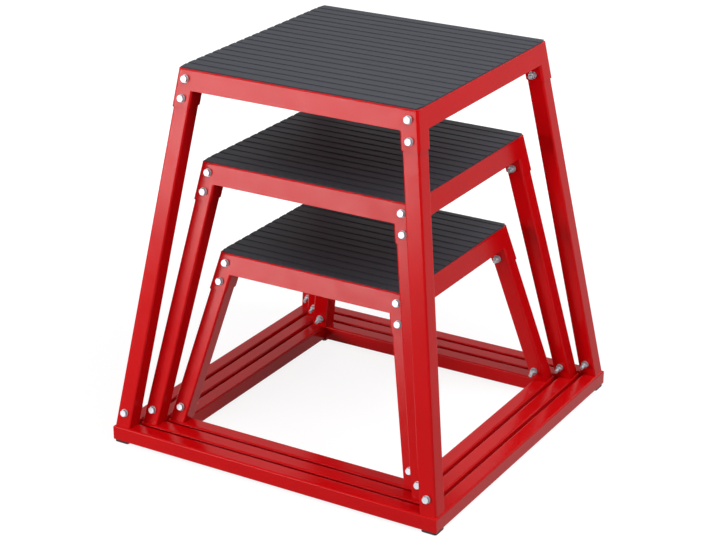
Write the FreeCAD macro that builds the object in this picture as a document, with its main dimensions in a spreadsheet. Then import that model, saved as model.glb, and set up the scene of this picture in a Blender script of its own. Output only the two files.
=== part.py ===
import FreeCAD, Part
import math
import os
import Sketcher

# A nested set of three steel plyo boxes, in millimetres. The origin is the centre of the base on
# the floor, Z is up, and the front of the set faces -Y. Every box has a ribbed rubber mat on a
# sheet steel deck, a folded skirt with a leaning socket at each corner, four square tube legs, and
# a mitred tube base with rubber feet and a stub inside each leg. Two bolts hold each leg above,
# and one below.

BOXES = ("large", "medium", "small")

SIZES = {
    # The set: each box stands over the next smaller one
    "small_height": 309.0,
    "height_step": 150.5,
    "large_top": 408.0,
    "large_base": 584.0,
    "nest_gap": 2.7,
    "top_gap": 12.8,
    # Rubber mat, with broad ribs from left to right
    "mat_thickness": 2.0,
    "mat_inset": 1.0,
    "mat_corner": 5.0,
    "rib_pitch": 21.5,
    "groove_width": 7.0,
    "groove_floor": 4.0,
    "groove_depth": 1.0,
    # Deck plate and the folded skirt under its edge
    "deck_sheet": 2.0,
    "deck_corner": 4.0,
    "skirt_height": 30.0,
    "skirt_sheet": 2.0,
    "flange_width": 20.0,
    # Legs, the sockets over their upper ends and the stubs inside their lower ends
    "leg_width": 28.0,
    "leg_wall": 1.5,
    "leg_corner": 3.0,
    "socket_slip": 0.3,
    "socket_wall": 1.5,
    "socket_corner": 4.0,
    "socket_margin": 15.0,
    "stub_wall": 2.0,
    "stub_corner": 2.5,
    "stub_margin": 23.0,
    "leg_setback": 2.4,
    "inner_corner_share": 0.45,
    # Base frame and its feet
    "base_tube": 25.0,
    "base_wall": 1.5,
    "base_corner": 3.0,
    "foot_height": 3.0,
    "foot_width": 26.0,
    "foot_corner": 4.0,
    "foot_inset": 1.0,
    # Bolts across the front and back faces of every leg
    "upper_bolt_drop": 13.0,
    "bolt_spacing": 30.0,
    "base_bolt_rise": 25.0,
    "bolt_diameter": 6.0,
    "bolt_clearance": 0.25,
    "bolt_end": 4.0,
    "bolt_point": 0.8,
    "hex_flats": 10.0,
    "head_height": 4.0,
    "head_chamfer": 0.8,
    "nut_height": 5.0,
    "nut_collar_width": 9.0,
    "nut_collar_height": 1.2,
    "thread_clearance": 0.1,
    "washer_diameter": 12.5,
    "washer_thickness": 1.6,
    "cut_overrun": 5.0,
}

# Turn from the front in degrees, and outward X and Y, of each side
SIDES = {"front": (0, 0, -1), "right": (90, 1, 0), "back": (180, 0, 1), "left": (270, -1, 0)}

HEX_SIDES = 6

doc = FreeCAD.newDocument("PlyoBoxSet")
parts = {}


def fill_sheet(name, cells):
    """Make a sheet with one named cell per row."""
    sheet = doc.addObject("Spreadsheet::Sheet", name)
    for row, (alias, content) in enumerate(cells.items(), start=1):
        sheet.set(f"A{row}", alias)
        sheet.set(f"B{row}", str(content))
        sheet.setAlias(f"B{row}", alias)
    doc.recompute()
    return sheet


def layout_formulas():
    """Where each frame lies: every box is laid out inside the next larger one."""
    cells = {
        "leg_cover": "=Sizes.socket_slip + Sizes.socket_wall",
        "socket_width": "=Sizes.leg_width + 2 * leg_cover",
        "stub_width": "=Sizes.leg_width - 2 * (Sizes.leg_wall + Sizes.socket_slip)",
        "base_top": "=Sizes.foot_height + Sizes.base_tube",
        "base_bolt": "=base_top + Sizes.base_bolt_rise",
        "socket_length": "=Sizes.upper_bolt_drop + Sizes.bolt_spacing + Sizes.socket_margin",
        "stub_length": "=Sizes.base_bolt_rise + Sizes.stub_margin",
        "nest_step": "=max(Sizes.leg_width; Sizes.base_tube) + Sizes.nest_gap",
        "hex_corners": f"=Sizes.hex_flats / cos(180 deg / {HEX_SIDES})",
        "shank_length": "=socket_width + 2 * Sizes.washer_thickness + Sizes.nut_height"
                        " + Sizes.nut_collar_height + Sizes.bolt_end",
    }
    larger = None
    for order, box in enumerate(BOXES, start=1):
        smaller_boxes = len(BOXES) - order
        cells[f"{box}_rim"] = (f"=Sizes.small_height + {smaller_boxes} * Sizes.height_step"
                               " - Sizes.mat_thickness - Sizes.deck_sheet")
        if larger is None:
            cells[f"{box}_base_half"] = "=Sizes.large_base / 2"
            cells[f"{box}_top_half"] = "=Sizes.large_top / 2"
        else:
            cells[f"{box}_base_half"] = f"={larger}_base_half - nest_step"
            reach = f"{larger}_top_half + {larger}_lean * ({larger}_rim - {box}_rim)"
            cells[f"{box}_top_half"] = f"={reach} - socket_width - Sizes.top_gap"
        cells[f"{box}_stance"] = f"={box}_base_half - Sizes.leg_setback"
        spread = f"({box}_stance - {box}_top_half + leg_cover)"
        cells[f"{box}_lean"] = f"={spread} / ({box}_rim - base_top)"
        cells[f"{box}_tilt"] = f"=atan({box}_lean)"
        cells[f"{box}_socket_grip"] = f"=socket_width * cos({box}_tilt)"
        cells[f"{box}_leg_seat"] = f"=leg_cover * cos({box}_tilt)"
        cells[f"{box}_leg_grip"] = f"=Sizes.leg_width * cos({box}_tilt)"
        cells[f"{box}_upper_bolt"] = f"={box}_rim - Sizes.upper_bolt_drop"
        cells[f"{box}_lower_bolt"] = f"={box}_upper_bolt - Sizes.bolt_spacing"
        larger = box
    return cells


def bind(thing, formulas):
    """Tie properties to formulas over the sheets."""
    for path, formula in formulas.items():
        thing.setExpression(path, formula)


def number(formula):
    """The present value of a formula."""
    value = layout.evalExpression(formula)
    return float(getattr(value, "Value", value))


def place(thing, x, y, z):
    bind(thing, {"Placement.Base.x": x, "Placement.Base.y": y, "Placement.Base.z": z})


def new_body(name):
    return doc.addObject("PartDesign::Body", name)


def origin_feature(body, role):
    return next(feature for feature in body.Origin.OriginFeatures if feature.Role == role)


def new_sketch(body, name, plane):
    sketch = body.newObject("Sketcher::SketchObject", name)
    sketch.AttachmentSupport = (origin_feature(body, plane), [""])
    sketch.MapMode = "FlatFace"
    return sketch


def dimension(sketch, name, constraint, formula):
    """Add a named dimension that follows a formula."""
    index = sketch.addConstraint(constraint)
    sketch.renameConstraint(index, name)
    bind(sketch, {f"Constraints.{name}": formula})


def rounded_square(sketch, name, width, corner):
    """Draw a square with round corners about the sketch's origin."""
    half = number(width) / 2
    radius = number(corner)
    flat = half - radius
    vector = FreeCAD.Vector
    ends = (((-flat, -half), (flat, -half)), ((half, -flat), (half, flat)),
            ((flat, half), (-flat, half)), ((-half, flat), (-half, -flat)))
    lines = []
    for start, end in ends:
        segment = Part.LineSegment(vector(*start, 0), vector(*end, 0))
        lines.append(sketch.addGeometry(segment))
    centres = ((flat, -flat), (flat, flat), (-flat, flat), (-flat, -flat))
    quarter = math.radians(90)
    arcs = []
    for turn, centre in enumerate(centres):
        circle = Part.Circle(vector(*centre, 0), vector(0, 0, 1), radius)
        arcs.append(sketch.addGeometry(Part.ArcOfCircle(circle, (turn - 1) * quarter, turn * quarter)))
    for turn in range(4):
        sketch.addConstraint(Sketcher.Constraint("Tangent", lines[turn], 2, arcs[turn], 1))
        sketch.addConstraint(Sketcher.Constraint("Tangent", arcs[turn], 2, lines[(turn + 1) % 4], 1))
        direction = "Vertical" if turn % 2 else "Horizontal"
        sketch.addConstraint(Sketcher.Constraint(direction, lines[turn]))
    for arc in arcs[1:]:
        sketch.addConstraint(Sketcher.Constraint("Equal", arcs[0], arc))
    sketch.addConstraint(Sketcher.Constraint("Symmetric", arcs[0], 3, arcs[2], 3, -1, 1))
    dimension(sketch, f"{name}_corner", Sketcher.Constraint("Radius", arcs[0], radius), corner)
    across = Sketcher.Constraint("DistanceX", lines[3], 1, lines[1], 1, 2 * half)
    dimension(sketch, f"{name}_width", across, width)
    along = Sketcher.Constraint("DistanceY", lines[0], 1, lines[2], 1, 2 * half)
    dimension(sketch, f"{name}_depth", along, width)


def trapezoid(sketch, name, near, far, depth, start="0"):
    """Draw a trapezoid even about the sketch's Y axis, from start down by depth."""
    near_half = number(near) / 2
    far_half = number(far) / 2
    top = number(start)
    bottom = top - number(depth)
    points = ((-near_half, top), (near_half, top), (far_half, bottom), (-far_half, bottom))
    lines = []
    for here, there in zip(points, points[1:] + points[:1]):
        segment = Part.LineSegment(FreeCAD.Vector(*here, 0), FreeCAD.Vector(*there, 0))
        lines.append(sketch.addGeometry(segment))
    for line, following in zip(lines, lines[1:] + lines[:1]):
        sketch.addConstraint(Sketcher.Constraint("Coincident", line, 2, following, 1))
    sketch.addConstraint(Sketcher.Constraint("Symmetric", lines[0], 1, lines[0], 2, -2))
    sketch.addConstraint(Sketcher.Constraint("Symmetric", lines[2], 1, lines[2], 2, -2))
    if top:
        offset = Sketcher.Constraint("DistanceY", -1, 1, lines[0], 1, top)
        dimension(sketch, f"{name}_start", offset, start)
    else:
        sketch.addConstraint(Sketcher.Constraint("PointOnObject", lines[0], 1, -1))
    near_side = Sketcher.Constraint("DistanceX", lines[0], 1, lines[0], 2, 2 * near_half)
    dimension(sketch, f"{name}_near", near_side, near)
    far_side = Sketcher.Constraint("DistanceX", lines[2], 2, lines[2], 1, 2 * far_half)
    dimension(sketch, f"{name}_far", far_side, far)
    down = Sketcher.Constraint("DistanceY", lines[2], 1, lines[0], 2, top - bottom)
    dimension(sketch, f"{name}_depth", down, depth)


def pad(body, sketch, length, reverse=False):
    feature = body.newObject("PartDesign::Pad", sketch.Name + "Pad")
    feature.Profile = sketch
    feature.Reversed = reverse
    bind(feature, {"Length": length})
    return feature


def cut_through(body, sketch):
    """Cut a sketch right through the body, both ways."""
    feature = body.newObject("PartDesign::Pocket", sketch.Name + "Cut")
    feature.Profile = sketch
    feature.Type = "ThroughAll"
    feature.Midplane = True
    return feature


def boolean(kind, name, base, tool):
    result = doc.addObject(kind, name)
    result.Base = base
    result.Tool = tool
    return result


def mirror(name, source, normal):
    image = doc.addObject("Part::Mirroring", name)
    image.Source = source
    image.Normal = normal
    return image


def compound(name, members):
    group = doc.addObject("Part::Compound", name)
    group.Links = members
    return group


def keep(label, thing):
    """Name a finished sub-part."""
    thing.Label = label
    parts[label] = thing


def corner_copies(name, front_left):
    """The same thing at all four corners, by corner name."""
    across = FreeCAD.Vector(1, 0, 0)
    along = FreeCAD.Vector(0, 1, 0)
    front_right = mirror(name + "FrontRight", front_left, across)
    back_left = mirror(name + "BackLeft", front_left, along)
    back_right = mirror(name + "BackRight", front_right, along)
    return {"front_left": front_left, "front_right": front_right,
            "back_left": back_left, "back_right": back_right}


def keep_corner_group(label, front_left):
    """Keep four like pieces, one at each corner, as one sub-part."""
    copies = corner_copies(label, front_left)
    keep(label, compound(label + "Group", list(copies.values())))


def turn_to_side(body, side, reach, z):
    """Set a body that was drawn for the front at one of the four sides."""
    turn, outward_x, outward_y = SIDES[side]
    body.Placement.Rotation = FreeCAD.Rotation(FreeCAD.Vector(0, 0, 1), turn)
    place(body, f"{outward_x} * {reach}", f"{outward_y} * {reach}", z)


def rubber_mat(box):
    """Ribbed mat: a plate with round corners, grooved from left to right."""
    body = new_body(f"{box}Mat")
    width = f"(2 * (Layout.{box}_top_half - Sizes.mat_inset))"
    outline = new_sketch(body, f"{box}MatOutline", "XY_Plane")
    rounded_square(outline, "mat", width, "Sizes.mat_corner")
    pad(body, outline, "Sizes.mat_thickness")

    grooves = f"floor({width} / Sizes.rib_pitch)"
    row_length = f"({grooves} - 1) * Sizes.rib_pitch"
    profile = new_sketch(body, f"{box}MatGroove", "YZ_Plane")
    trapezoid(profile, "groove", "Sizes.groove_width", "Sizes.groove_floor", "Sizes.groove_depth")
    bind(profile, {"AttachmentOffset.Base.x": f"-({row_length}) / 2",
                   "AttachmentOffset.Base.y": "Sizes.mat_thickness"})
    groove = cut_through(body, profile)
    row = body.newObject("PartDesign::LinearPattern", f"{box}MatGrooves")
    row.Originals = [groove]
    row.Direction = (origin_feature(body, "Y_Axis"), [""])
    bind(row, {"Length": row_length, "Occurrences": grooves})
    body.Tip = row
    place(body, "0", "0", f"Layout.{box}_rim + Sizes.deck_sheet")
    keep(f"{box}_rubber_mat", body)


def deck_panel(box):
    """Flat steel plate that closes the top of the skirt and the sockets."""
    body = new_body(f"{box}Deck")
    outline = new_sketch(body, f"{box}DeckOutline", "XY_Plane")
    rounded_square(outline, "deck", f"2 * Layout.{box}_top_half", "Sizes.deck_corner")
    pad(body, outline, "Sizes.deck_sheet")
    place(body, "0", "0", f"Layout.{box}_rim")
    keep(f"{box}_deck_panel", body)


def skirt_rail(box, side):
    """Folded angle between two sockets, leaning with them and cut to their lean at both ends."""
    body = new_body(f"{box}Skirt{side}")
    top = f"(2 * (Layout.{box}_top_half - Layout.socket_width))"
    spread = f"2 * Layout.{box}_lean"
    upright = new_sketch(body, f"{body.Name}Upright", "XZ_Plane")
    trapezoid(upright, "upright", top, f"{top} + {spread} * Sizes.skirt_height",
              f"Sizes.skirt_height / cos(Layout.{box}_tilt)")
    tilt = number(f"Layout.{box}_tilt")
    upright.AttachmentOffset.Rotation = FreeCAD.Rotation(FreeCAD.Vector(-1, 0, 0), tilt)
    bind(upright, {"AttachmentOffset.Rotation.Angle": f"Layout.{box}_tilt"})
    pad(body, upright, "Sizes.skirt_sheet", reverse=True)
    flange = new_sketch(body, f"{body.Name}Flange", "XZ_Plane")
    trapezoid(flange, "flange", top, f"{top} + {spread} * Sizes.skirt_sheet", "Sizes.skirt_sheet")
    bind(flange, {"AttachmentOffset.Base.z": "-Sizes.skirt_sheet / 2"})
    body.Tip = pad(body, flange, "Sizes.flange_width - Sizes.skirt_sheet / 2", reverse=True)
    turn_to_side(body, side, f"Layout.{box}_top_half", f"Layout.{box}_rim")
    keep(f"{box}_{side}_skirt_rail", body)


def leaning_tube(box, name, width, wall, corner, length):
    """Square tube that leans towards the middle from the front left corner, with level ends."""
    body = new_body(name)
    section = new_sketch(body, name + "Section", "XY_Plane")
    rounded_square(section, "outside", width, corner)
    rounded_square(section, "inside", f"{width} - 2 * {wall}", f"{corner} * Sizes.inner_corner_share")
    tube = pad(body, section, length)
    tube.UseCustomVector = True
    tube.AlongSketchNormal = True
    lean = number(f"Layout.{box}_lean")
    tube.Direction = FreeCAD.Vector(lean, lean, 1)
    bind(tube, {"Direction.x": f"Layout.{box}_lean", "Direction.y": f"Layout.{box}_lean"})
    return body


def place_on_bolt_axis(thing, box, height, offset):
    """Stand a thing on the axis of a front left bolt, offset inwards from the socket's outer face."""
    reach = f"(Layout.{box}_top_half + Layout.{box}_lean * (Layout.{box}_rim - {height}))"
    tilt = f"Layout.{box}_tilt"
    thing.Placement.Rotation = FreeCAD.Rotation(FreeCAD.Vector(-1, 0, 0), 90)
    bind(thing, {"Placement.Rotation.Angle": f"90 deg + {tilt}"})
    place(thing, f"Layout.socket_width / 2 - {reach}", f"({offset}) * cos({tilt}) - {reach}",
          f"{height} - ({offset}) * sin({tilt})")


def bolt_seats(box):
    """Height of each bolt of a leg, and how far in its outer and inner washers bear."""
    over_socket = ("0", f"Layout.{box}_socket_grip")
    over_leg = (f"Layout.{box}_leg_seat", f"Layout.{box}_leg_seat + Layout.{box}_leg_grip")
    return ((f"Layout.{box}_upper_bolt", *over_socket), (f"Layout.{box}_lower_bolt", *over_socket),
            ("Layout.base_bolt", *over_leg))


def drilled(box, body, seats):
    """Drill a tube for the given bolts."""
    drills = []
    for count, (height, near, far) in enumerate(seats):
        drill = doc.addObject("Part::Cylinder", f"{body.Name}Drill{count}")
        bind(drill, {"Radius": "Sizes.bolt_diameter / 2 + Sizes.bolt_clearance",
                     "Height": f"{far} - ({near}) + 2 * Sizes.cut_overrun"})
        place_on_bolt_axis(drill, box, height, f"{near} - Sizes.cut_overrun")
        drills.append(drill)
    return boolean("Part::Cut", body.Name + "Drilled", body, compound(body.Name + "Drills", drills))


def top_sockets(box):
    """Square sleeves that hang under the corners of the deck, over the legs."""
    sleeve = leaning_tube(box, f"{box}Socket", "Layout.socket_width", "Sizes.socket_wall",
                          "Sizes.socket_corner", "Layout.socket_length")
    drop = f"Layout.{box}_lean * Layout.socket_length"
    reach = f"Layout.socket_width / 2 - Layout.{box}_top_half - {drop}"
    place(sleeve, reach, reach, f"Layout.{box}_rim - Layout.socket_length")
    keep_corner_group(f"{box}_top_sockets", drilled(box, sleeve, bolt_seats(box)[:2]))


def legs_on_stubs(box):
    """Square tubes from the base frame up to the deck, and the stubs on the base inside them."""
    tube = leaning_tube(box, f"{box}Leg", "Sizes.leg_width", "Sizes.leg_wall", "Sizes.leg_corner",
                        f"Layout.{box}_rim - Layout.base_top")
    stub = leaning_tube(box, f"{box}Stub", "Layout.stub_width", "Sizes.stub_wall", "Sizes.stub_corner",
                        "Layout.stub_length")
    reach = f"Sizes.leg_width / 2 - Layout.{box}_stance"
    for piece in (tube, stub):
        place(piece, reach, reach, "Layout.base_top")
    for corner, leg in corner_copies(f"{box}Leg", drilled(box, tube, bolt_seats(box))).items():
        keep(f"{box}_{corner}_leg", leg)
    keep_corner_group(f"{box}_base_stubs", drilled(box, stub, bolt_seats(box)[2:]))


def base_rail(box, side):
    """One side of the base frame: a square tube, mitred at both ends."""
    body = new_body(f"{box}Base{side}")
    outer = f"(2 * Layout.{box}_base_half)"
    inner = f"{outer} - 2 * Sizes.base_tube"
    plan = new_sketch(body, f"{body.Name}Plan", "XY_Plane")
    trapezoid(plan, "plan", inner, outer, "Sizes.base_tube", start="Sizes.base_tube")
    bar = pad(body, plan, "Sizes.base_tube")
    doc.recompute()

    long_edges = [f"Edge{count}" for count, edge in enumerate(bar.Shape.Edges, start=1)
                  if math.isclose(abs(edge.tangentAt(edge.FirstParameter).x), 1)]
    rounded = body.newObject("PartDesign::Fillet", f"{body.Name}Rounded")
    rounded.Base = (bar, long_edges)
    bind(rounded, {"Radius": "Sizes.base_corner"})

    bore = new_sketch(body, f"{body.Name}Bore", "YZ_Plane")
    rounded_square(bore, "bore", "Sizes.base_tube - 2 * Sizes.base_wall",
                   "Sizes.base_corner * Sizes.inner_corner_share")
    bind(bore, {"AttachmentOffset.Base.x": "Sizes.base_tube / 2",
                "AttachmentOffset.Base.y": "Sizes.base_tube / 2"})
    body.Tip = cut_through(body, bore)
    turn_to_side(body, side, f"Layout.{box}_base_half", "Sizes.foot_height")
    keep(f"{box}_{side}_base_rail", body)


def feet(box):
    """Rubber pads under the corners of the base frame."""
    body = new_body(f"{box}Foot")
    outline = new_sketch(body, f"{box}FootOutline", "XY_Plane")
    rounded_square(outline, "foot", "Sizes.foot_width", "Sizes.foot_corner")
    pad(body, outline, "Sizes.foot_height")
    reach = f"Sizes.foot_inset + Sizes.foot_width / 2 - Layout.{box}_base_half"
    place(body, reach, reach, "0")
    keep_corner_group(f"{box}_feet", body)


def hexagon(name, height):
    """Hexagonal bar whose far end is chamfered all round."""
    bar = doc.addObject("Part::Prism", name + "Bar")
    bar.Polygon = HEX_SIDES
    bind(bar, {"Circumradius": "Layout.hex_corners / 2", "Height": height})
    cone = doc.addObject("Part::Cone", name + "Chamfer")
    slope = "(Layout.hex_corners - Sizes.hex_flats) / 2 / Sizes.head_chamfer"
    bind(cone, {"Radius1": f"Sizes.hex_flats / 2 + {slope} * {height}",
                "Radius2": "Sizes.hex_flats / 2", "Height": height})
    return boolean("Part::Common", name, bar, cone)


def cylinder(name, radius, height, start="0"):
    rod = doc.addObject("Part::Cylinder", name)
    bind(rod, {"Radius": radius, "Height": height})
    place(rod, "0", "0", start)
    return rod


def bolt():
    """Hexagon bolt along Z, with its head under Z 0."""
    head = hexagon("BoltHead", "Sizes.head_height")
    head.Placement.Rotation = FreeCAD.Rotation(FreeCAD.Vector(1, 0, 0), 180)
    shank = cylinder("BoltShank", "Sizes.bolt_diameter / 2", "Layout.shank_length - Sizes.bolt_point")
    point = doc.addObject("Part::Cone", "BoltPoint")
    bind(point, {"Radius1": "Sizes.bolt_diameter / 2",
                 "Radius2": "Sizes.bolt_diameter / 2 - Sizes.bolt_point", "Height": "Sizes.bolt_point"})
    place(point, "0", "0", "Layout.shank_length - Sizes.bolt_point")
    whole = doc.addObject("Part::MultiFuse", "Bolt")
    whole.Shapes = [head, shank, point]
    return whole


def nut():
    """Hexagon lock nut along Z, with its collar on the far side."""
    collar = cylinder("NutCollar", "Sizes.nut_collar_width / 2", "Sizes.nut_collar_height",
                      start="Sizes.nut_height")
    blank = boolean("Part::Fuse", "NutBlank", hexagon("NutHexagon", "Sizes.nut_height"), collar)
    bore = cylinder("NutBore", "Sizes.bolt_diameter / 2 + Sizes.thread_clearance",
                    "Sizes.nut_height + Sizes.nut_collar_height + 2 * Sizes.cut_overrun",
                    start="-Sizes.cut_overrun")
    return boolean("Part::Cut", "Nut", blank, bore)


def washer():
    disc = cylinder("WasherDisc", "Sizes.washer_diameter / 2", "Sizes.washer_thickness")
    hole = cylinder("WasherHole", "Sizes.bolt_diameter / 2 + Sizes.bolt_clearance",
                    "Sizes.washer_thickness + 2 * Sizes.cut_overrun", start="-Sizes.cut_overrun")
    return boolean("Part::Cut", "Washer", disc, hole)


def fasteners(box, label, master, offsets):
    """Copies of one fastener on every bolt axis of a box, offset from its near and far seats."""
    copies = []
    for height, near, far in bolt_seats(box):
        for offset in offsets:
            copy = doc.addObject("App::Link", f"{box}{label}{len(copies)}")
            copy.LinkedObject = master
            place_on_bolt_axis(copy, box, height, offset.format(near=near, far=far))
            copies.append(copy)
    keep_corner_group(f"{box}_{label}", compound(f"{box}{label}FrontLeft", copies))


def check_document():
    """Stop if any object failed, or any sub-part has no valid shape."""
    failed = [thing.Name for thing in doc.Objects if {"Invalid", "Error"} & set(thing.State)]
    if failed:
        raise RuntimeError("objects failed: " + ", ".join(failed))
    for label, thing in parts.items():
        if thing.Shape.isNull() or not thing.Shape.isValid() or not thing.Shape.Solids:
            raise RuntimeError("no valid shape: " + label)


fill_sheet("Sizes", SIZES)
layout = fill_sheet("Layout", layout_formulas())
bolt_master = bolt()
nut_master = nut()
washer_master = washer()
for box in BOXES:
    rubber_mat(box)
    deck_panel(box)
    for side in SIDES:
        skirt_rail(box, side)
    top_sockets(box)
    legs_on_stubs(box)
    for side in SIDES:
        base_rail(box, side)
    feet(box)
    fasteners(box, "bolts", bolt_master, ("{near} - Sizes.washer_thickness",))
    fasteners(box, "washers", washer_master, ("{near} - Sizes.washer_thickness", "{far}"))
    fasteners(box, "nuts", nut_master, ("{far} + Sizes.washer_thickness",))
doc.recompute()
check_document()

os.makedirs("parts", exist_ok=True)
for label, thing in parts.items():
    thing.Shape.exportStep(f"parts/{label}.step")
print(len(parts), "sub-parts written")
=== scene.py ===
"""Looks of a nested set of three steel plyo boxes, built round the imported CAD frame."""
import math

import bmesh
import bpy
from bpy.props import FloatProperty, FloatVectorProperty, PointerProperty
from mathutils import Matrix, Vector


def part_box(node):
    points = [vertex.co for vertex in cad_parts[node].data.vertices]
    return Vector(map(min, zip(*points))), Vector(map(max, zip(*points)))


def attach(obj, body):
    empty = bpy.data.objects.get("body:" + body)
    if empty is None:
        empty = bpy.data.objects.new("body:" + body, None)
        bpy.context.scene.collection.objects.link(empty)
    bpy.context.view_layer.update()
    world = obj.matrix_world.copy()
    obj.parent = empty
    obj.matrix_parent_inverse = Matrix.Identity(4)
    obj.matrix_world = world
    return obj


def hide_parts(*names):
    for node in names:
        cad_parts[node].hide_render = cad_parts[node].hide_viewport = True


bl_info = {
    "name": "Nesting plyo boxes",
    "version": (1, 0, 0),
    "blender": (4, 5, 0),
    "location": "3D View > Sidebar > Plyo boxes",
    "description": "Dresses the CAD frame of three nested steel plyo boxes",
    "category": "Add Mesh",
}

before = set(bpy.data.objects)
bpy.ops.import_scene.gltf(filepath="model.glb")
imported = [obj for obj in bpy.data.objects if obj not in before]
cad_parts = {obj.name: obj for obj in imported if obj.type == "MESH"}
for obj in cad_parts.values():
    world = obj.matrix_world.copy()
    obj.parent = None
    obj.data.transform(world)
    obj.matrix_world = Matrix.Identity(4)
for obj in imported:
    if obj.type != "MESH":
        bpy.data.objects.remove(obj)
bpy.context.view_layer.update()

BOX_NAMES = ("small", "medium", "large")
SIDE_TURNS = {"front": 0, "right": 90, "back": 180, "left": 270}
CORNER_SIGNS = ((-1, -1), (1, -1), (1, 1), (-1, 1))
MM = 0.001
# How close points lie that are one point
WELD = 0.002 * MM
# Three stations of a softened edge: share of its radius inwards, and short of the end
SOFT_EDGE = ((1.0, 0.0), (0.3, 0.3), (0.0, 1.0))
# Segments in a quarter turn of a corner
CORNER_STEPS = 6
# Angles in degrees between two faces from which the edge between them is drawn sharp
SHEET_CREASE, WELD_CREASE, HEXAGON_CREASE = 35, 50, 25
# Where most values of a noise texture lie
NOISE_SPAN = {"From Min": 0.3, "From Max": 0.7}


def linear(hex_colour):
    """Linear RGBA from an sRGB hex value."""
    parts = [int(hex_colour[i:i + 2], 16) / 255 for i in (1, 3, 5)]
    return [c / 12.92 if c <= 0.04045 else ((c + 0.055) / 1.055) ** 2.4 for c in parts] + [1.0]


def colour(name, hex_colour, description):
    """Setting for a colour."""
    return FloatVectorProperty(name=name, description=description, subtype="COLOR", size=4,
                               min=0, max=1, default=linear(hex_colour))


def length(name, millimetres, description):
    """Setting for a size, kept in metres."""
    return FloatProperty(name=name, description=description, unit="LENGTH", precision=5,
                         min=0, default=millimetres * MM)


def share(name, value, description):
    """Setting between 0 and 1."""
    return FloatProperty(name=name, description=description, subtype="FACTOR", min=0, max=1,
                         default=value)


def level(name, value, description):
    """Setting for a plain number that isn't below 0."""
    return FloatProperty(name=name, description=description, min=0, default=value)


class PLYO_PG_coat(bpy.types.PropertyGroup):
    """Red powder coat on the steel frames."""
    red: colour("Red", "#C9080E", "Main colour of the coat")
    thin_red: colour("Thin red", "#BA060B", "Colour where the coat is thinner")
    smooth: share("Smooth", 0.15, "Roughness of the coat where it is untouched")
    dull: share("Dull", 0.24, "Roughness of the coat where hands have dulled it")
    specular: share("Specular level", 0.085, "Strength of the coat's mirror reflection")
    pooling: length("Pooling", 90, "Width of the patches where the coat pools")
    handling: length("Handling", 25, "Width of the patches that hands have dulled")
    orange_peel: length("Orange peel", 2.5, "Width of the ripples in the coat")
    edge: length("Edge radius", 0.6, "Rounding of cut edges under the coat")
    sheet: length("Skirt sheet", 2.0, "Thickness of the folded skirts")
    deck_corner: length("Deck corner", 4.0, "Corner radius of a deck plate")
    socket_wall: length("Socket wall", 1.5, "Wall of a leg socket")
    socket_corner: length("Socket corner", 4.0, "Corner radius of a leg socket")


class PLYO_PG_rubber(bpy.types.PropertyGroup):
    """Ribbed mats and moulded feet."""
    specular: share("Specular level", 0.1, "Strength of the rubber's sheen")
    mat_black: colour("Mat black", "#2B2C32", "Colour of the ribbed mat")
    mat_dust: colour("Mat dust", "#36383F", "Colour of the mat where chalk and dust cling")
    mat_smooth: share("Mat smooth", 0.54, "Roughness of the mat where it is clean")
    mat_dull: share("Mat dull", 0.65, "Roughness of the mat where chalk and dust cling")
    streak: length("Mat streak", 5.0, "Width of the streaks along the ribs")
    foot_black: colour("Foot black", "#131315", "Colour of the feet")
    foot_dust: colour("Foot dust", "#2C2D32", "Colour of the feet where dust clings")
    foot_roughness: share("Foot roughness", 0.75, "Roughness of the feet")
    foot_grit: length("Foot grit", 0.8, "Width of the texture that the mould gives the feet")
    rib_pitch: length("Rib pitch", 21.5, "Spacing of the ribs")
    groove_width: length("Groove width", 7.0, "Width of a groove at its mouth")
    groove_floor: length("Groove floor", 4.0, "Width of a groove at its floor")
    groove_depth: length("Groove depth", 1.0, "Depth of a groove")
    corner: length("Mat corner", 5.0, "Corner radius of a mat")
    edge: length("Mat edge", 0.5, "Rounding of the upper edge of a mat")
    grain: length("Rubber grain", 1.2, "Width of the pressed grain")
    foot_width: length("Foot width", 26.0, "Width of a foot")
    foot_corner: length("Foot corner", 4.0, "Corner radius of a foot")
    foot_edge: length("Foot edge", 0.8, "Rounding of the lower edge of a foot")


class PLYO_PG_fasteners(bpy.types.PropertyGroup):
    """Hexagon bolts, washers and lock nuts."""
    zinc: colour("Zinc", "#B4B7BC", "Colour of the bright zinc plate")
    cloudy_zinc: colour("Cloudy zinc", "#9CA0A7", "Colour of the plate where it has clouded")
    smooth: share("Smooth", 0.44, "Roughness of the plate at its smoothest")
    dull: share("Dull", 0.58, "Roughness of the plate at its dullest")
    cloud: length("Cloud", 4.0, "Width of the clouds in the plate")
    scuff: length("Scuff", 1.0, "Width of the scuffs on the plate")
    flats: length("Across flats", 10.0, "Width of heads and nuts across their flats")
    head: length("Head height", 4.0, "Height of a bolt head")
    chamfer: length("Chamfer", 0.8, "Depth of the chamfer on heads and nuts")
    shank: length("Shank", 6.0, "Diameter of a bolt")
    thread: length("Thread pitch", 1.0, "Pitch of the thread")
    tail: length("Tail", 4.0, "Length of thread past a nut on a socket")
    nut: length("Nut height", 5.0, "Height of a nut without its collar")
    collar: length("Collar height", 1.2, "Height of a lock nut's collar")
    collar_width: length("Collar width", 9.0, "Diameter of a lock nut's collar")
    washer: length("Washer", 12.5, "Diameter of a washer")
    washer_sheet: length("Washer thickness", 1.6, "Thickness of a washer")
    fit: length("Fit", 0.2, "Clearance of a washer round a bolt")


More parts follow.
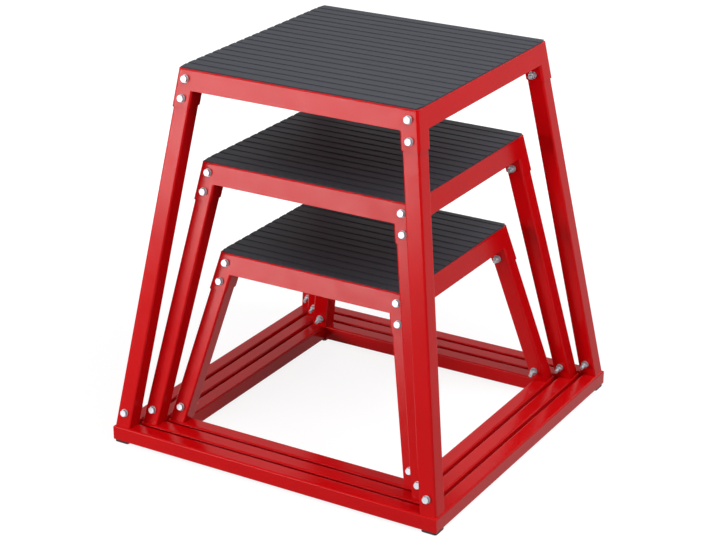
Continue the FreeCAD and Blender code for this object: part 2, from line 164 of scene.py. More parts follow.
class PLYO_PG_stage(bpy.types.PropertyGroup):
    """Camera, lamps and floor."""
    lens: level("Lens", 99.575, "Focal length of the camera in millimetres")
    sensor: level("Sensor", 36.0, "Width of the camera's sensor in millimetres")
    azimuth: FloatProperty(name="Azimuth", description="Turn of the camera from the front",
                           subtype="ANGLE", default=math.radians(30.84))
    elevation: FloatProperty(name="Elevation", description="Height angle of the camera",
                             subtype="ANGLE", default=math.radians(22.58))
    distance: length("Distance", 3144.26, "From the camera to its aim")
    aim: FloatVectorProperty(name="Aim", description="Point that the camera looks at", unit="LENGTH",
                             size=3, default=(-0.01087, -0.00624, 0.2523))
    white: colour("White", "#FFFFFF", "Backdrop, and glow of the floor")
    paper: colour("Paper", "#BCBCBC", "Floor that throws light back on the boxes")
    shade: colour("Shade", "#7A7A7A", "Floor that shows the shadow over its glow")
    ambient: level("Ambient", 0.1, "Strength of the even light")
    strip: level("Strip", 20.5, "Radiance of the strip box that skirts and upper legs mirror")
    overhead: level("Overhead", 2.6, "Radiance of the front overhead soft box")
    right: level("Right", 5.6, "Radiance of the right overhead soft box")
    back: level("Back", 1.0, "Radiance of the back left soft box that the large mat mirrors")
    fill: level("Fill", 3.6, "Radiance of the fill boxes on the left and at the back")
    glow: level("Floor glow", 0.86, "Brightness of the floor in a full shadow")
    glow_start: length("Glow start", 450, "Distance from the middle where the floor whitens")
    glow_end: length("Glow end", 1300, "Distance from the middle where the floor is white")


class BoxFrame:
    """Where one box stands, read from its CAD nodes."""

    def __init__(self, name):
        self.name = name
        self.body = f"{name}_box"
        deck_low, deck_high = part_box(self.node("deck_panel"))
        mat_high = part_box(self.node("rubber_mat"))[1]
        socket_low, socket_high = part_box(self.node("top_sockets"))
        skirt_low, skirt_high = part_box(self.node("front_skirt_rail"))
        self.half = deck_high.x
        self.rim = deck_low.z
        self.deck_top = deck_high.z
        self.mat_half = mat_high.x
        self.mat_top = mat_high.z
        self.socket_low = socket_low.z
        self.lean = (socket_high.x - self.half) / (self.rim - socket_low.z)
        rims = [v.co.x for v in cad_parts[self.node("top_sockets")].data.vertices
                if v.co.x > 0 and abs(v.co.z - self.rim) < WELD]
        self.socket_width = self.half - min(rims)
        self.skirt_bottom = self.rim - (-skirt_low.y - self.half) / self.lean
        self.flange = skirt_high.y + self.half

    def node(self, piece):
        """Full name of one of the box's CAD nodes."""
        return f"{self.name}_{piece}"

    def reach(self, z):
        """Distance of the leaning outer faces from the middle at a height."""
        return self.half + self.lean * (self.rim - z)


BOXES = [BoxFrame(name) for name in BOX_NAMES]


def add_node(tree, kind, settings=None, inputs=None):
    """Add a shader node, set its properties, and fill or link its inputs."""
    made = tree.nodes.new(kind)
    for name, value in (settings or {}).items():
        setattr(made, name, value)
    for name, value in (inputs or {}).items():
        if isinstance(value, bpy.types.NodeSocket):
            tree.links.new(value, made.inputs[name])
        else:
            made.inputs[name].default_value = value
    return made


def new_material(name):
    """A material with an empty node tree."""
    material = bpy.data.materials.new(name)
    material.use_nodes = True
    material.node_tree.nodes.clear()
    return material


def gloss_powder_coat(coat):
    """Red polyester powder, sprayed and baked on steel tube."""
    # The eye sees a deep even red under a weak, slightly soft mirror of the lamps, a faint orange
    # peel that bends the edges of reflections, and a little more colour where the coat pools.
    # Real orange peel is about 1.5 mm wide and is drawn at 2.5 mm, so that it shows.
    material = new_material("gloss red powder coat, baked on steel")
    tree = material.node_tree
    place = add_node(tree, "ShaderNodeTexCoord").outputs["Object"]
    pooling = add_node(tree, "ShaderNodeTexNoise", None,
                       {"Vector": place, "Scale": 1 / coat.pooling, "Detail": 3, "Roughness": 0.55})
    tone = add_node(tree, "ShaderNodeMix", {"data_type": "RGBA"},
                    {"Factor": pooling.outputs["Fac"], 6: coat.thin_red, 7: coat.red})
    peel = add_node(tree, "ShaderNodeTexNoise", None,
                    {"Vector": place, "Scale": 1 / coat.orange_peel, "Detail": 2, "Roughness": 0.4})
    bump = add_node(tree, "ShaderNodeBump", None,
                    {"Height": peel.outputs["Fac"], "Strength": 0.1, "Distance": 0.12 * MM})
    handling = add_node(tree, "ShaderNodeTexNoise", None,
                        {"Vector": place, "Scale": 1 / coat.handling, "Detail": 4, "Roughness": 0.6})
    rough = add_node(tree, "ShaderNodeMapRange", None,
                     {"Value": handling.outputs["Fac"], "To Min": coat.smooth, "To Max": coat.dull,
                      **NOISE_SPAN})
    shader = add_node(tree, "ShaderNodeBsdfPrincipled", None,
                      {"Base Color": tone.outputs[2], "Roughness": rough.outputs["Result"],
                       "Normal": bump.outputs["Normal"], "Specular IOR Level": coat.specular,
                       "IOR": 1.5})
    add_node(tree, "ShaderNodeOutputMaterial", None, {"Surface": shader.outputs["BSDF"]})
    return material


def ribbed_sheet_rubber(rubber):
    """Black rubber sheet, vulcanised between a ribbed roll and a cloth-faced plate."""
    # The eye sees a soft grey sheen at low angles over a near-black sheet, fine streaks along the
    # ribs from the roll, and pressed grain, about 0.5 mm wide and drawn at 1.2 mm, so that it shows.
    material = new_material("black sheet rubber, vulcanised with ribs")
    tree = material.node_tree
    place = add_node(tree, "ShaderNodeTexCoord").outputs["Object"]
    # The ribs lie along X, and the streaks are about 17 times as long as wide
    drawn = add_node(tree, "ShaderNodeMapping", None, {"Vector": place, "Scale": (0.06, 1, 1)})
    streaks = add_node(tree, "ShaderNodeTexNoise", None,
                       {"Vector": drawn.outputs["Vector"], "Scale": 1 / rubber.streak, "Detail": 4,
                        "Roughness": 0.6})
    tone = add_node(tree, "ShaderNodeMix", {"data_type": "RGBA"},
                    {"Factor": streaks.outputs["Fac"], 6: rubber.mat_black, 7: rubber.mat_dust})
    grain = add_node(tree, "ShaderNodeTexNoise", None,
                     {"Vector": place, "Scale": 1 / rubber.grain, "Detail": 3, "Roughness": 0.5})
    bump = add_node(tree, "ShaderNodeBump", None,
                    {"Height": grain.outputs["Fac"], "Strength": 0.25, "Distance": 0.15 * MM})
    rough = add_node(tree, "ShaderNodeMapRange", None,
                     {"Value": streaks.outputs["Fac"], "To Min": rubber.mat_smooth,
                      "To Max": rubber.mat_dull, **NOISE_SPAN})
    shader = add_node(tree, "ShaderNodeBsdfPrincipled", None,
                      {"Base Color": tone.outputs[2], "Roughness": rough.outputs["Result"],
                       "Normal": bump.outputs["Normal"], "Specular IOR Level": rubber.specular,
                       "IOR": 1.52})
    add_node(tree, "ShaderNodeOutputMaterial", None, {"Surface": shader.outputs["BSDF"]})
    return material


def moulded_rubber(rubber):
    """Black rubber, moulded into pads."""
    # The eye sees a dull black with dust in its skin, and a fine spark-eroded texture from the
    # mould, about 0.3 mm wide and drawn at 0.8 mm, so that it shows.
    material = new_material("black rubber, moulded")
    tree = material.node_tree
    place = add_node(tree, "ShaderNodeTexCoord").outputs["Object"]
    grit = add_node(tree, "ShaderNodeTexNoise", None,
                    {"Vector": place, "Scale": 1 / rubber.foot_grit, "Detail": 3, "Roughness": 0.6})
    bump = add_node(tree, "ShaderNodeBump", None,
                    {"Height": grit.outputs["Fac"], "Strength": 0.3, "Distance": 0.1 * MM})
    tone = add_node(tree, "ShaderNodeMix", {"data_type": "RGBA"},
                    {"Factor": grit.outputs["Fac"], 6: rubber.foot_black, 7: rubber.foot_dust})
    shader = add_node(tree, "ShaderNodeBsdfPrincipled", None,
                      {"Base Color": tone.outputs[2], "Roughness": rubber.foot_roughness,
                       "Normal": bump.outputs["Normal"], "IOR": 1.52})
    add_node(tree, "ShaderNodeOutputMaterial", None, {"Surface": shader.outputs["BSDF"]})
    return material


def bright_zinc_plate(fasteners):
    """Steel fasteners, cold forged and plated with bright zinc."""
    # The eye sees a cool pale grey with broad soft glints, because the tumbling barrel has clouded
    # the plate, and faint scuffs about 1 mm wide.
    material = new_material("bright zinc plate on forged steel")
    tree = material.node_tree
    place = add_node(tree, "ShaderNodeTexCoord").outputs["Object"]
    clouds = add_node(tree, "ShaderNodeTexNoise", None,
                      {"Vector": place, "Scale": 1 / fasteners.cloud, "Detail": 4, "Roughness": 0.6})
    rough = add_node(tree, "ShaderNodeMapRange", None,
                     {"Value": clouds.outputs["Fac"], "To Min": fasteners.smooth,
                      "To Max": fasteners.dull, **NOISE_SPAN})
    scuffs = add_node(tree, "ShaderNodeTexNoise", None,
                      {"Vector": place, "Scale": 1 / fasteners.scuff, "Detail": 2, "Roughness": 0.5})
    bump = add_node(tree, "ShaderNodeBump", None,
                    {"Height": scuffs.outputs["Fac"], "Strength": 0.12, "Distance": 0.05 * MM})
    tone = add_node(tree, "ShaderNodeMix", {"data_type": "RGBA"},
                    {"Factor": clouds.outputs["Fac"], 6: fasteners.cloudy_zinc, 7: fasteners.zinc})
    shader = add_node(tree, "ShaderNodeBsdfPrincipled", None,
                      {"Base Color": tone.outputs[2], "Metallic": 1.0,
                       "Roughness": rough.outputs["Result"], "Normal": bump.outputs["Normal"]})
    add_node(tree, "ShaderNodeOutputMaterial", None, {"Surface": shader.outputs["BSDF"]})
    return material


MATERIALS = {}
FINISHES = {
    "red_powder_coat": lambda scene: gloss_powder_coat(scene.plyo_coat),
    "ribbed_rubber": lambda scene: ribbed_sheet_rubber(scene.plyo_rubber),
    "foot_rubber": lambda scene: moulded_rubber(scene.plyo_rubber),
    "bright_zinc": lambda scene: bright_zinc_plate(scene.plyo_fasteners),
}


def finish_of(slot):
    """The material of a slot, made when it is first asked for."""
    if slot not in MATERIALS:
        MATERIALS[slot] = FINISHES[slot](bpy.context.scene)
    return MATERIALS[slot]


def rounded_square(half, radius):
    """Points round a square with round corners, counter-clockwise."""
    points = []
    for turn, (sx, sy) in enumerate(((1, 1), (-1, 1), (-1, -1), (1, -1))):
        for step in range(CORNER_STEPS + 1):
            angle = math.radians(90) * (turn + step / CORNER_STEPS)
            points.append((sx * (half - radius) + radius * math.cos(angle),
                           sy * (half - radius) + radius * math.sin(angle)))
    return points


def loft(bm, rings, caps=True):
    """Skin a row of closed rings that have the same number of points."""
    rows = [[bm.verts.new(point) for point in ring] for ring in rings]
    count = len(rows[0])
    for low, high in zip(rows, rows[1:]):
        for i in range(count):
            j = (i + 1) % count
            bm.faces.new((low[i], low[j], high[j], high[i]))
    if caps:
        bm.faces.new(list(reversed(rows[0])))
        bm.faces.new(rows[-1])


def finish_piece(bm, name, box, slot, *nodes, crease=SHEET_CREASE):
    """Turn built faces into a piece that rides on a box and stands for its CAD nodes."""
    bmesh.ops.remove_doubles(bm, verts=bm.verts, dist=WELD)
    bmesh.ops.recalc_face_normals(bm, faces=bm.faces)
    mesh = bpy.data.meshes.new(name)
    bm.to_mesh(mesh)
    bm.free()
    mesh.shade_smooth()
    mesh.set_sharp_from_angle(angle=math.radians(crease))
    mesh.materials.append(finish_of(slot))
    piece = bpy.data.objects.new(name, mesh)
    bpy.context.scene.collection.objects.link(piece)
    # Large faces keep their own direction, so that small bevels don't bend their reflections
    flats = piece.modifiers.new("true flat faces", "WEIGHTED_NORMAL")
    flats.keep_sharp = True
    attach(piece, box.body)
    if nodes:
        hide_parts(*nodes)


class PLYO_OT_tubes(bpy.types.Operator):
    """Powder coat the legs, the stubs inside them and the base rails"""
    bl_idname = "plyo.tubes"
    bl_label = "Coat legs and base rails"

    def execute(self, context):
        for name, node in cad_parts.items():
            if name.endswith(("_leg", "_base_stubs", "_base_rail")):
                node.data.materials.clear()
                node.data.materials.append(finish_of("red_powder_coat"))
        return {"FINISHED"}


class PLYO_OT_mats(bpy.types.Operator):
    """Lay a ribbed rubber mat on each deck"""
    bl_idname = "plyo.mats"
    bl_label = "Ribbed mats"

    # Wall of a groove, rounded at its lip and floor: share of the way from mouth to floor, and of the depth
    WALL = ((-0.15, 0), (0, 0.06), (0.15, 0.2), (0.85, 0.85), (1, 0.97), (1.15, 1))

    def groove_wall(self, rubber):
        """Front half of a groove: places across it and heights."""
        mouth, slope = rubber.groove_width / 2, (rubber.groove_width - rubber.groove_floor) / 2
        return [(slope * way - mouth, -rubber.groove_depth * deep) for way, deep in self.WALL]

    def profile(self, box, rubber):
        """Points across the ribs from the front edge to the back one."""
        half, top = box.mat_half, box.mat_top
        edge = [(half - rubber.edge * into, top - rubber.edge * down) for into, down in SOFT_EDGE]
        count = math.floor(2 * half / rubber.rib_pitch)
        wall = self.groove_wall(rubber)
        points = [(-y, z) for y, z in reversed(edge)]
        for i in range(count):
            middle = (i - (count - 1) / 2) * rubber.rib_pitch
            points += [(middle + y, top + z) for y, z in wall]
            points += [(middle - y, top + z) for y, z in reversed(wall)]
        return points + edge

    def execute(self, context):
        rubber = context.scene.plyo_rubber
        for box in BOXES:
            half, corner, edge, bottom = box.mat_half, rubber.corner, rubber.edge, box.deck_top
            bm = bmesh.new()
            rows = []
            for y, z in [(-half, bottom)] + self.profile(box, rubber) + [(half, bottom)]:
                round_part = max(0, abs(y) - (half - corner))
                reach = half - corner + math.sqrt(max(0, corner * corner - round_part * round_part))
                low = min(z, box.mat_top - edge)
                left = [(-reach, y, bottom)]
                left += [(-reach + edge * into, y, max(low, z - edge * down))
                         for into, down in reversed(SOFT_EDGE)]
                rows.append(left + [(-x, v, w) for x, v, w in reversed(left)])
            loft(bm, rows)
            finish_piece(bm, f"{box.name}_ribbed_mat", box, "ribbed_rubber", box.node("rubber_mat"))
        return {"FINISHED"}


class PLYO_OT_decks(bpy.types.Operator):
    """Lay the deck plates with a softened upper edge"""
    bl_idname = "plyo.decks"
    bl_label = "Deck plates"

    def execute(self, context):
        coat = context.scene.plyo_coat
        for box in BOXES:
            stations = [(0, box.rim)]
            for step in range(CORNER_STEPS + 1):
                angle = math.radians(90) * step / CORNER_STEPS
                stations.append((coat.edge * (1 - math.cos(angle)),
                                 box.deck_top - coat.edge * (1 - math.sin(angle))))
            rings = []
            for inset, z in stations:
                outline = rounded_square(box.half - inset, coat.deck_corner - inset)
                rings.append([(x, y, z) for x, y in outline])
            bm = bmesh.new()
            loft(bm, rings)
            finish_piece(bm, f"{box.name}_deck_plate", box, "red_powder_coat", box.node("deck_panel"))
        return {"FINISHED"}


class PLYO_OT_skirts(bpy.types.Operator):
    """Fold the skirts under the decks"""
    bl_idname = "plyo.skirts"
    bl_label = "Folded skirts"

    def profile(self, box, coat):
        """Section of the fold: distance out from the rim, and height."""
        sheet, edge = coat.sheet, coat.edge
        rim, bottom = box.rim, box.skirt_bottom
        foot = box.reach(bottom) - box.half
        thick = sheet / math.cos(math.atan(box.lean))
        # Two or three points round each bend and cut edge, as shares of the edge radius or the sheet
        outer = [(-box.flange, rim), (-0.5 * edge, rim), (0, rim - 0.3 * edge),
                 (foot - box.lean * edge, bottom + edge), (foot - 0.3 * edge, bottom + 0.3 * edge),
                 (foot - edge, bottom)]
        inner = [(foot - thick, bottom), (2 * sheet * box.lean - thick, rim - 2 * sheet),
                 (-0.3 * sheet - thick, rim - 1.3 * sheet), (-sheet - thick, rim - sheet),
                 (-box.flange, rim - sheet)]
        return outer + inner

    def execute(self, context):
        for box in BOXES:
            section = self.profile(box, context.scene.plyo_coat)
            ends = []
            for sign in (-1, 1):
                ends.append([(sign * (box.reach(z) - box.socket_width), -box.half - out, z)
                             for out, z in section])
            for side, turn in SIDE_TURNS.items():
                bm = bmesh.new()
                loft(bm, ends)
                bmesh.ops.rotate(bm, verts=bm.verts, matrix=Matrix.Rotation(math.radians(turn), 3, "Z"))
                finish_piece(bm, f"{box.name}_{side}_skirt", box, "red_powder_coat",
                             box.node(f"{side}_skirt_rail"))
        return {"FINISHED"}


class PLYO_OT_sockets(bpy.types.Operator):
    """Set the leaning sockets over the upper ends of the legs"""
    bl_idname = "plyo.sockets"
    bl_label = "Leg sockets"

    # Largest share of a socket's wall that the softened inner edge of its rim takes
    INNER_EDGE = 0.4

    def ring(self, box, signs, half, corner, z):
        """Outline of a sleeve at a height, about its own leaning axis."""
        middle = box.reach(z) - box.socket_width / 2
        return [(signs[0] * (middle + x), signs[1] * (middle + y), z)
                for x, y in rounded_square(half, corner)]

    def sleeve(self, bm, box, coat, signs):
        """One leaning sleeve with softened rims."""
        low, high, edge = box.socket_low, box.rim, coat.edge
        stations = [(low + edge * short, edge * inset) for inset, short in SOFT_EDGE]
        stations += [(high - edge * short, edge * inset) for inset, short in reversed(SOFT_EDGE)]
        half, corner = box.socket_width / 2, coat.socket_corner
        rings = [self.ring(box, signs, half - inset, corner - inset, z) for z, inset in stations]
        for z, inset in reversed(stations):
            hollow = half - coat.socket_wall + min(inset, self.INNER_EDGE * coat.socket_wall)
            rings.append(self.ring(box, signs, hollow, corner / 2, z))
        loft(bm, rings + rings[:1], caps=False)

    def execute(self, context):
        coat = context.scene.plyo_coat
        for box in BOXES:
            bm = bmesh.new()
            for signs in CORNER_SIGNS:
                self.sleeve(bm, box, coat, signs)
            finish_piece(bm, f"{box.name}_leg_sockets", box, "red_powder_coat", box.node("top_sockets"))
        return {"FINISHED"}


class PLYO_OT_welds(bpy.types.Operator):
    """Weld the skirts to the sockets and grind the seams flush"""
    bl_idname = "plyo.welds"
    bl_label = "Ground welds"

    # How far a seam stops short of the rim and of the lower edge of the skirt
    SHORT = 0.2 * MM
    # Points round a seam, over from the end of the skirt and in from its face, each as a share of
    # the corner radius of the socket and a length added to that
    SECTION = (((0, -0.8 * MM), (0, 0.03 * MM)), ((0.4, 0), (0, 0)), ((1.05, 0), (0, 0.03 * MM)),
               ((0.8, 0), (0, 1.0 * MM)), ((0, 0.1 * MM), (1, 0)), ((0, -0.8 * MM), (0, 1.6 * MM)))

    def seam(self, box, corner):
        """Flush weld that fills the notch between the front skirt and its right socket."""
        rings = []
        for z in (box.rim - self.SHORT, box.skirt_bottom + self.SHORT):
            near = box.reach(z) - box.socket_width
            face = -box.reach(z)
            rings.append([Vector((near + over * corner + more_over, face + into * corner + more_in, z))
                          for (over, more_over), (into, more_in) in self.SECTION])
        return rings

    def execute(self, context):
        for box in BOXES:
            rings = self.seam(box, context.scene.plyo_coat.socket_corner)
            bm = bmesh.new()
            for turn in SIDE_TURNS.values():
                for sign in (-1, 1):
                    place = Matrix.Rotation(math.radians(turn), 3, "Z") @ Matrix.Diagonal((sign, 1, 1))
                    loft(bm, [[place @ point for point in ring] for ring in rings])
            finish_piece(bm, f"{box.name}_ground_welds", box, "red_powder_coat", crease=WELD_CREASE)
        return {"FINISHED"}


class PLYO_OT_fasteners(bpy.types.Operator):
    """Put in the hexagon bolts, washers and lock nuts"""
    bl_idname = "plyo.fasteners"
    bl_label = "Bolts, washers and nuts"

    # Points round a hexagon, a plain ring and a thread
    HEXAGON_POINTS, RING_POINTS, THREAD_POINTS = 60, 40, 24
    # The cone that chamfers a hexagon: its radius at the end face, as a share of half the flats, and
    # how fast it grows from there
    CONE_START, CONE_SLOPE = 0.985, 1.7
    # Rings of a hexagon near its ends, in chamfer depths from the end face
    PLAIN_END = (0, 0.1)
    SEAT_END = (0, 0.12, 0.3, 0.6, 1)
    FAR_END = (1, 0.8, 0.6, 0.45, 0.3, 0.15, 0)
    # Depth of the thread as a share of its pitch, rings in one turn of it, and what is left of it
    # at the point of the bolt
    THREAD_DEPTH, THREAD_RINGS, THREAD_LEFT = 0.6, 8, 0.25
    # Bolts were tightened by hand: degrees that each is turned further than the one before it, and
    # the turn of the first
    TURN_STEP, TURN_START = 17, 9

    def washer_middles(self, box):
        """Middle of every CAD washer of a box."""
        bm = bmesh.new()
        bm.from_mesh(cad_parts[box.node("washers")].data)
        bmesh.ops.remove_doubles(bm, verts=bm.verts, dist=WELD)
        seen, middles = set(), []
        for start in bm.verts:
            if start in seen:
                continue
            island, queue = [], [start]
            seen.add(start)
            while queue:
                vert = queue.pop()
                island.append(vert.co)
                others = {edge.other_vert(vert) for edge in vert.link_edges} - seen
                seen |= others
                queue += others
            low = [min(point[i] for point in island) for i in range(3)]
            high = [max(point[i] for point in island) for i in range(3)]
            middles.append((Vector(low) + Vector(high)) / 2)
        bm.free()
        return middles

    def axes(self, box):
        """Outer and inner washer middle of every bolt: a bolt's two washers share one X."""
        middles = sorted(self.washer_middles(box), key=lambda m: (m.y > 0, m.x))
        pairs = list(zip(middles[::2], middles[1::2]))
        for one, other in pairs:
            if abs(one.x - other.x) > MM:
                raise RuntimeError(f"a bolt of the {box.name} box lacks a washer")
        return [sorted(pair, key=lambda m: -abs(m.y)) for pair in pairs]

    def along(self, start, inward, turn=0):
        """Matrix with Z along a bolt, from a point on it."""
        towards = inward.to_track_quat("Z", "Y").to_matrix().to_4x4()
        return Matrix.Translation(start) @ towards @ Matrix.Rotation(turn, 4, "Z")

    def turned(self, bm, matrix, profile, steps, bend=None, caps=True):
        """Skin a turned profile of radii and heights; bend changes the radius round a ring."""
        rings = []
        for radius, z in profile:
            ring = []
            for i in range(steps):
                angle = 2 * math.pi * i / steps
                size = bend(radius, z, angle) if bend else radius
                ring.append(matrix @ Vector((size * math.cos(angle), size * math.sin(angle), z)))
            rings.append(ring)
        loft(bm, rings, caps)

    def hexagon(self, bm, matrix, sizes, height, both_ends):
        """Hexagonal block whose far end, or both ends, are chamfered by a cone."""
        flat, chamfer = sizes.flats / 2, sizes.chamfer
        sixth = math.radians(60)

        def bend(radius, z, angle):
            side = flat / math.cos((angle + sixth / 2) % sixth - sixth / 2)
            from_end = min(z, height - z) if both_ends else height - z
            return min(side, self.CONE_START * flat + from_end * self.CONE_SLOPE) * radius

        # Radii are shares of the hexagon; the far face is a little dished
        near = self.SEAT_END if both_ends else self.PLAIN_END
        profile = [(0.3, 0)] + [(1, part * chamfer) for part in near]
        profile += [(1, height - part * chamfer) for part in self.FAR_END]
        profile += [(0.93, height), (0.3, height - 0.12 * chamfer)]
        self.turned(bm, matrix, profile, self.HEXAGON_POINTS, bend)

    def shank(self, bm, matrix, sizes, start, end):
        """Bolt shank whose thread shows from start to end."""
        radius, pitch = sizes.shank / 2, sizes.thread
        count = int(self.THREAD_RINGS * (end - start) / pitch)

        def bend(size, z, angle):
            if z <= start:
                return size
            wave = abs((z / pitch - angle / (2 * math.pi)) % 1 - 0.5) * 2
            fade = min(1, max(0, (end - z) / pitch) + self.THREAD_LEFT)
            return size - self.THREAD_DEPTH * pitch * wave * fade

        profile = [(radius, sizes.washer_sheet / 2), (radius, start)]
        profile += [(radius, start + (end - start) * (i + 1) / count) for i in range(count)]
        profile += [(0.8 * radius, end), (0.3 * radius, end)]
        self.turned(bm, matrix, profile, self.THREAD_POINTS, bend)

    def washer(self, bm, matrix, sizes):
        """Flat washer with softened edges."""
        sheet, soft = sizes.washer_sheet, 0.18 * sizes.washer_sheet
        wide, hole = sizes.washer / 2, sizes.shank / 2 + sizes.fit
        profile = [(hole, soft), (hole + soft, 0), (wide - soft, 0), (wide, soft), (wide, sheet - soft),
                   (wide - soft, sheet), (hole + soft, sheet), (hole, sheet - soft), (hole, soft)]
        self.turned(bm, matrix, profile, self.RING_POINTS, caps=False)

    def collar(self, bm, matrix, sizes):
        """Round collar of a lock nut, with its plastic ring against the thread."""
        wide, high, soft = sizes.collar_width / 2, sizes.nut + sizes.collar, sizes.collar / 2
        thread = sizes.shank / 2
        profile = [(wide, sizes.nut - 0.3 * soft), (wide, high - soft),
                   (wide - 0.3 * soft, high - 0.3 * soft), (wide - soft, high), (thread + soft, high),
                   (thread + 0.5 * soft, high - 0.7 * soft), (thread - sizes.fit, high - 0.8 * soft)]
        self.turned(bm, matrix, profile, self.RING_POINTS)

    def execute(self, context):
        sizes = context.scene.plyo_fasteners
        sheet = sizes.washer_sheet
        for box in BOXES:
            bolts, washers, nuts = bmesh.new(), bmesh.new(), bmesh.new()
            axes = self.axes(box)
            longest = max((inner - outer).length for outer, inner in axes) + sheet
            end = longest + sizes.nut + sizes.collar + sizes.tail
            for count, (outer, inner) in enumerate(axes):
                inward = (inner - outer).normalized()
                turn = math.radians(self.TURN_STEP * count + self.TURN_START)
                under_head = outer - inward * sheet / 2
                under_nut = inner + inward * sheet / 2
                self.hexagon(bolts, self.along(under_head, -inward, turn), sizes, sizes.head, False)
                thread_start = (under_nut - under_head).length + sizes.nut
                self.shank(bolts, self.along(under_head, inward), sizes, thread_start, end)
                for middle in (outer, inner):
                    self.washer(washers, self.along(middle - inward * sheet / 2, inward), sizes)
                seat = self.along(under_nut, inward, 2 * turn)
                self.hexagon(nuts, seat, sizes, sizes.nut, True)
                self.collar(nuts, seat, sizes)
            finish_piece(bolts, f"{box.name}_hex_bolts", box, "bright_zinc", box.node("bolts"),
                         crease=HEXAGON_CREASE)
            finish_piece(washers, f"{box.name}_flat_washers", box, "bright_zinc", box.node("washers"))
            finish_piece(nuts, f"{box.name}_lock_nuts", box, "bright_zinc", box.node("nuts"),
                         crease=HEXAGON_CREASE)
        return {"FINISHED"}


class PLYO_OT_feet(bpy.types.Operator):
    """Put moulded pads under the base corners"""
    bl_idname = "plyo.feet"
    bl_label = "Rubber feet"

    def execute(self, context):
        rubber = context.scene.plyo_rubber
        half, edge = rubber.foot_width / 2, rubber.foot_edge
        for box in BOXES:
            low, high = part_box(box.node("feet"))
            stations = [(low.z + edge * short, edge * inset) for inset, short in SOFT_EDGE]
            stations.append((high.z, 0))
            middle = high.x - half
            bm = bmesh.new()
            for sx, sy in CORNER_SIGNS:
                rings = []
                for z, inset in stations:
                    outline = rounded_square(half - inset, rubber.foot_corner - inset)
                    rings.append([(sx * middle + x, sy * middle + y, z) for x, y in outline])
                loft(bm, rings)
            finish_piece(bm, f"{box.name}_rubber_pads", box, "foot_rubber", box.node("feet"))
        return {"FINISHED"}


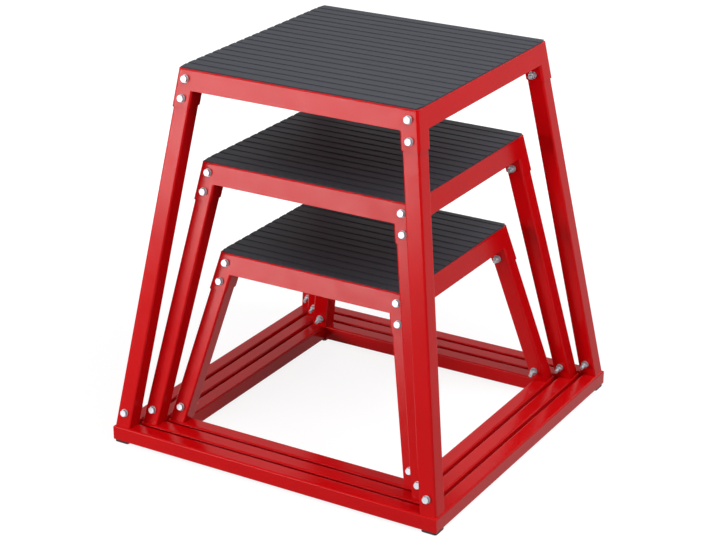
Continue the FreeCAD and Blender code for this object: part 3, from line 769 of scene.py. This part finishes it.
class PLYO_OT_stage(bpy.types.Operator):
    """Set the camera, the lamps, the floor and the backdrop"""
    bl_idname = "plyo.stage"
    bl_label = "Stage"

    # Name, place, aim, and width and height of each lamp in metres, with the setting of its radiance
    LAMPS = (
        ("front left strip box", (-1.45, -2.4, 0.42), (0, -0.2, 0.42), (1.1, 0.62), "strip"),
        ("front overhead soft box", (0.3, -0.9, 2.0), (0, 0, 0.35), (1.6, 1.6), "overhead"),
        ("right overhead soft box", (1.3, 0.0, 1.8), (0, 0, 0.35), (1.2, 1.2), "right"),
        ("back left soft box", (-0.87, 1.46, 1.94), (0, 0, 0.5), (1.2, 1.2), "back"),
        ("left fill box", (-2.4, 0.5, 1.0), (0, 0, 0.35), (1.2, 1.2), "fill"),
        ("back fill box", (0.4, 2.6, 0.9), (0, 0, 0.35), (1.2, 1.2), "fill"),
    )

    # Half the width of the floor in metres, and how far it lies under the feet
    FLOOR_HALF, FLOOR_DROP = 6, 0.2 * MM

    def seen_rays(self, tree):
        """1 for rays that show the backdrop: from the camera, mirrors and glass."""
        path = add_node(tree, "ShaderNodeLightPath")
        shown = add_node(tree, "ShaderNodeMath", {"operation": "ADD"},
                         {0: path.outputs["Is Camera Ray"], 1: path.outputs["Is Glossy Ray"]})
        return add_node(tree, "ShaderNodeMath", {"operation": "ADD", "use_clamp": True},
                        {0: shown.outputs[0], 1: path.outputs["Is Transmission Ray"]}).outputs[0]

    def camera(self, scene, stage):
        """Camera at the photo's viewing angle."""
        data = bpy.data.cameras.new("photo camera")
        data.lens = stage.lens
        data.sensor_width = stage.sensor
        camera = bpy.data.objects.new("photo camera", data)
        flat = math.cos(stage.elevation)
        back = Vector((math.sin(stage.azimuth) * flat, -math.cos(stage.azimuth) * flat,
                       math.sin(stage.elevation)))
        camera.location = Vector(stage.aim) + back * stage.distance
        camera.rotation_euler = (-back).to_track_quat("-Z", "Y").to_euler()
        scene.collection.objects.link(camera)
        scene.camera = camera

    def lamp(self, scene, name, place, aim, size, radiance):
        """Rectangular soft box of an even brightness."""
        data = bpy.data.lights.new(name, "AREA")
        data.shape = "RECTANGLE"
        data.size, data.size_y = size
        data.energy = radiance * math.pi * size[0] * size[1]
        lamp = bpy.data.objects.new(name, data)
        lamp.location = place
        lamp.rotation_euler = (Vector(aim) - Vector(place)).to_track_quat("-Z", "Y").to_euler()
        lamp.visible_camera = False
        scene.collection.objects.link(lamp)

    def room(self, scene, stage):
        """White for seen rays, and an even light of its own strength for the rest."""
        world = bpy.data.worlds.new("white room")
        world.use_nodes = True
        tree = world.node_tree
        tree.nodes.clear()
        strength = add_node(tree, "ShaderNodeMapRange", None,
                            {"Value": self.seen_rays(tree), "To Min": stage.ambient, "To Max": 1.0})
        sky = add_node(tree, "ShaderNodeBackground", None,
                       {"Color": stage.white, "Strength": strength.outputs["Result"]})
        add_node(tree, "ShaderNodeOutputWorld", None, {"Surface": sky.outputs["Background"]})
        scene.world = world

    def floor(self, scene, stage):
        """White paper that glows for seen rays, and still takes the shadow of the boxes."""
        bm = bmesh.new()
        bmesh.ops.create_grid(bm, x_segments=1, y_segments=1, size=self.FLOOR_HALF)
        mesh = bpy.data.meshes.new("studio_floor")
        bm.to_mesh(mesh)
        bm.free()
        material = new_material("white paper sweep")
        tree = material.node_tree
        paper = add_node(tree, "ShaderNodeBsdfDiffuse", None, {"Color": stage.paper})
        shade = add_node(tree, "ShaderNodeBsdfDiffuse", None, {"Color": stage.shade})
        place = add_node(tree, "ShaderNodeTexCoord").outputs["Object"]
        away = add_node(tree, "ShaderNodeVectorMath", {"operation": "LENGTH"}, {0: place})
        whiter = add_node(tree, "ShaderNodeMapRange", {"interpolation_type": "SMOOTHSTEP"},
                          {"Value": away.outputs["Value"], "From Min": stage.glow_start,
                           "From Max": stage.glow_end, "To Min": stage.glow, "To Max": 1.0})
        glow = add_node(tree, "ShaderNodeEmission", None,
                        {"Color": stage.white, "Strength": whiter.outputs["Result"]})
        both = add_node(tree, "ShaderNodeAddShader", None, {0: shade.outputs[0], 1: glow.outputs[0]})
        mixed = add_node(tree, "ShaderNodeMixShader", None,
                         {0: self.seen_rays(tree), 1: paper.outputs[0], 2: both.outputs[0]})
        add_node(tree, "ShaderNodeOutputMaterial", None, {"Surface": mixed.outputs[0]})
        mesh.materials.append(material)
        floor = bpy.data.objects.new("studio_floor", mesh)
        floor.location.z = -self.FLOOR_DROP
        scene.collection.objects.link(floor)

    def execute(self, context):
        scene, stage = context.scene, context.scene.plyo_stage
        scene.view_settings.view_transform = "Standard"
        self.camera(scene, stage)
        for name, place, aim, size, setting in self.LAMPS:
            self.lamp(scene, name, place, aim, size, getattr(stage, setting))
        self.room(scene, stage)
        self.floor(scene, stage)
        return {"FINISHED"}


class PLYO_PT_boxes(bpy.types.Panel):
    """Steps that dress the plyo boxes"""
    bl_idname = "PLYO_PT_boxes"
    bl_label = "Plyo boxes"
    bl_space_type = "VIEW_3D"
    bl_region_type = "UI"
    bl_category = "Plyo boxes"

    def draw(self, context):
        for operator in OPERATORS:
            self.layout.operator(operator.bl_idname)
        for group in GROUPS:
            settings = getattr(context.scene, group)
            section = self.layout.box()
            for name in settings.bl_rna.properties.keys():
                if name not in ("rna_type", "name"):
                    section.prop(settings, name)


GROUPS = {"plyo_coat": PLYO_PG_coat, "plyo_rubber": PLYO_PG_rubber,
          "plyo_fasteners": PLYO_PG_fasteners, "plyo_stage": PLYO_PG_stage}
OPERATORS = (PLYO_OT_tubes, PLYO_OT_mats, PLYO_OT_decks, PLYO_OT_skirts, PLYO_OT_sockets, PLYO_OT_welds,
             PLYO_OT_fasteners, PLYO_OT_feet, PLYO_OT_stage)


def register():
    """Register the settings, the steps and the panel."""
    for group in GROUPS.values():
        bpy.utils.register_class(group)
    for operator in OPERATORS:
        bpy.utils.register_class(operator)
    bpy.utils.register_class(PLYO_PT_boxes)
    for name, group in GROUPS.items():
        setattr(bpy.types.Scene, name, PointerProperty(type=group))


def unregister():
    """Take out what register put in."""
    for name in GROUPS:
        delattr(bpy.types.Scene, name)
    bpy.utils.unregister_class(PLYO_PT_boxes)
    for operator in reversed(OPERATORS):
        bpy.utils.unregister_class(operator)
    for group in reversed(list(GROUPS.values())):
        bpy.utils.unregister_class(group)


def main():
    register()
    bpy.ops.plyo.tubes()
    bpy.ops.plyo.mats()
    bpy.ops.plyo.decks()
    bpy.ops.plyo.skirts()
    bpy.ops.plyo.sockets()
    bpy.ops.plyo.welds()
    bpy.ops.plyo.fasteners()
    bpy.ops.plyo.feet()
    bpy.ops.plyo.stage()


if __name__ == "__main__":
    main()
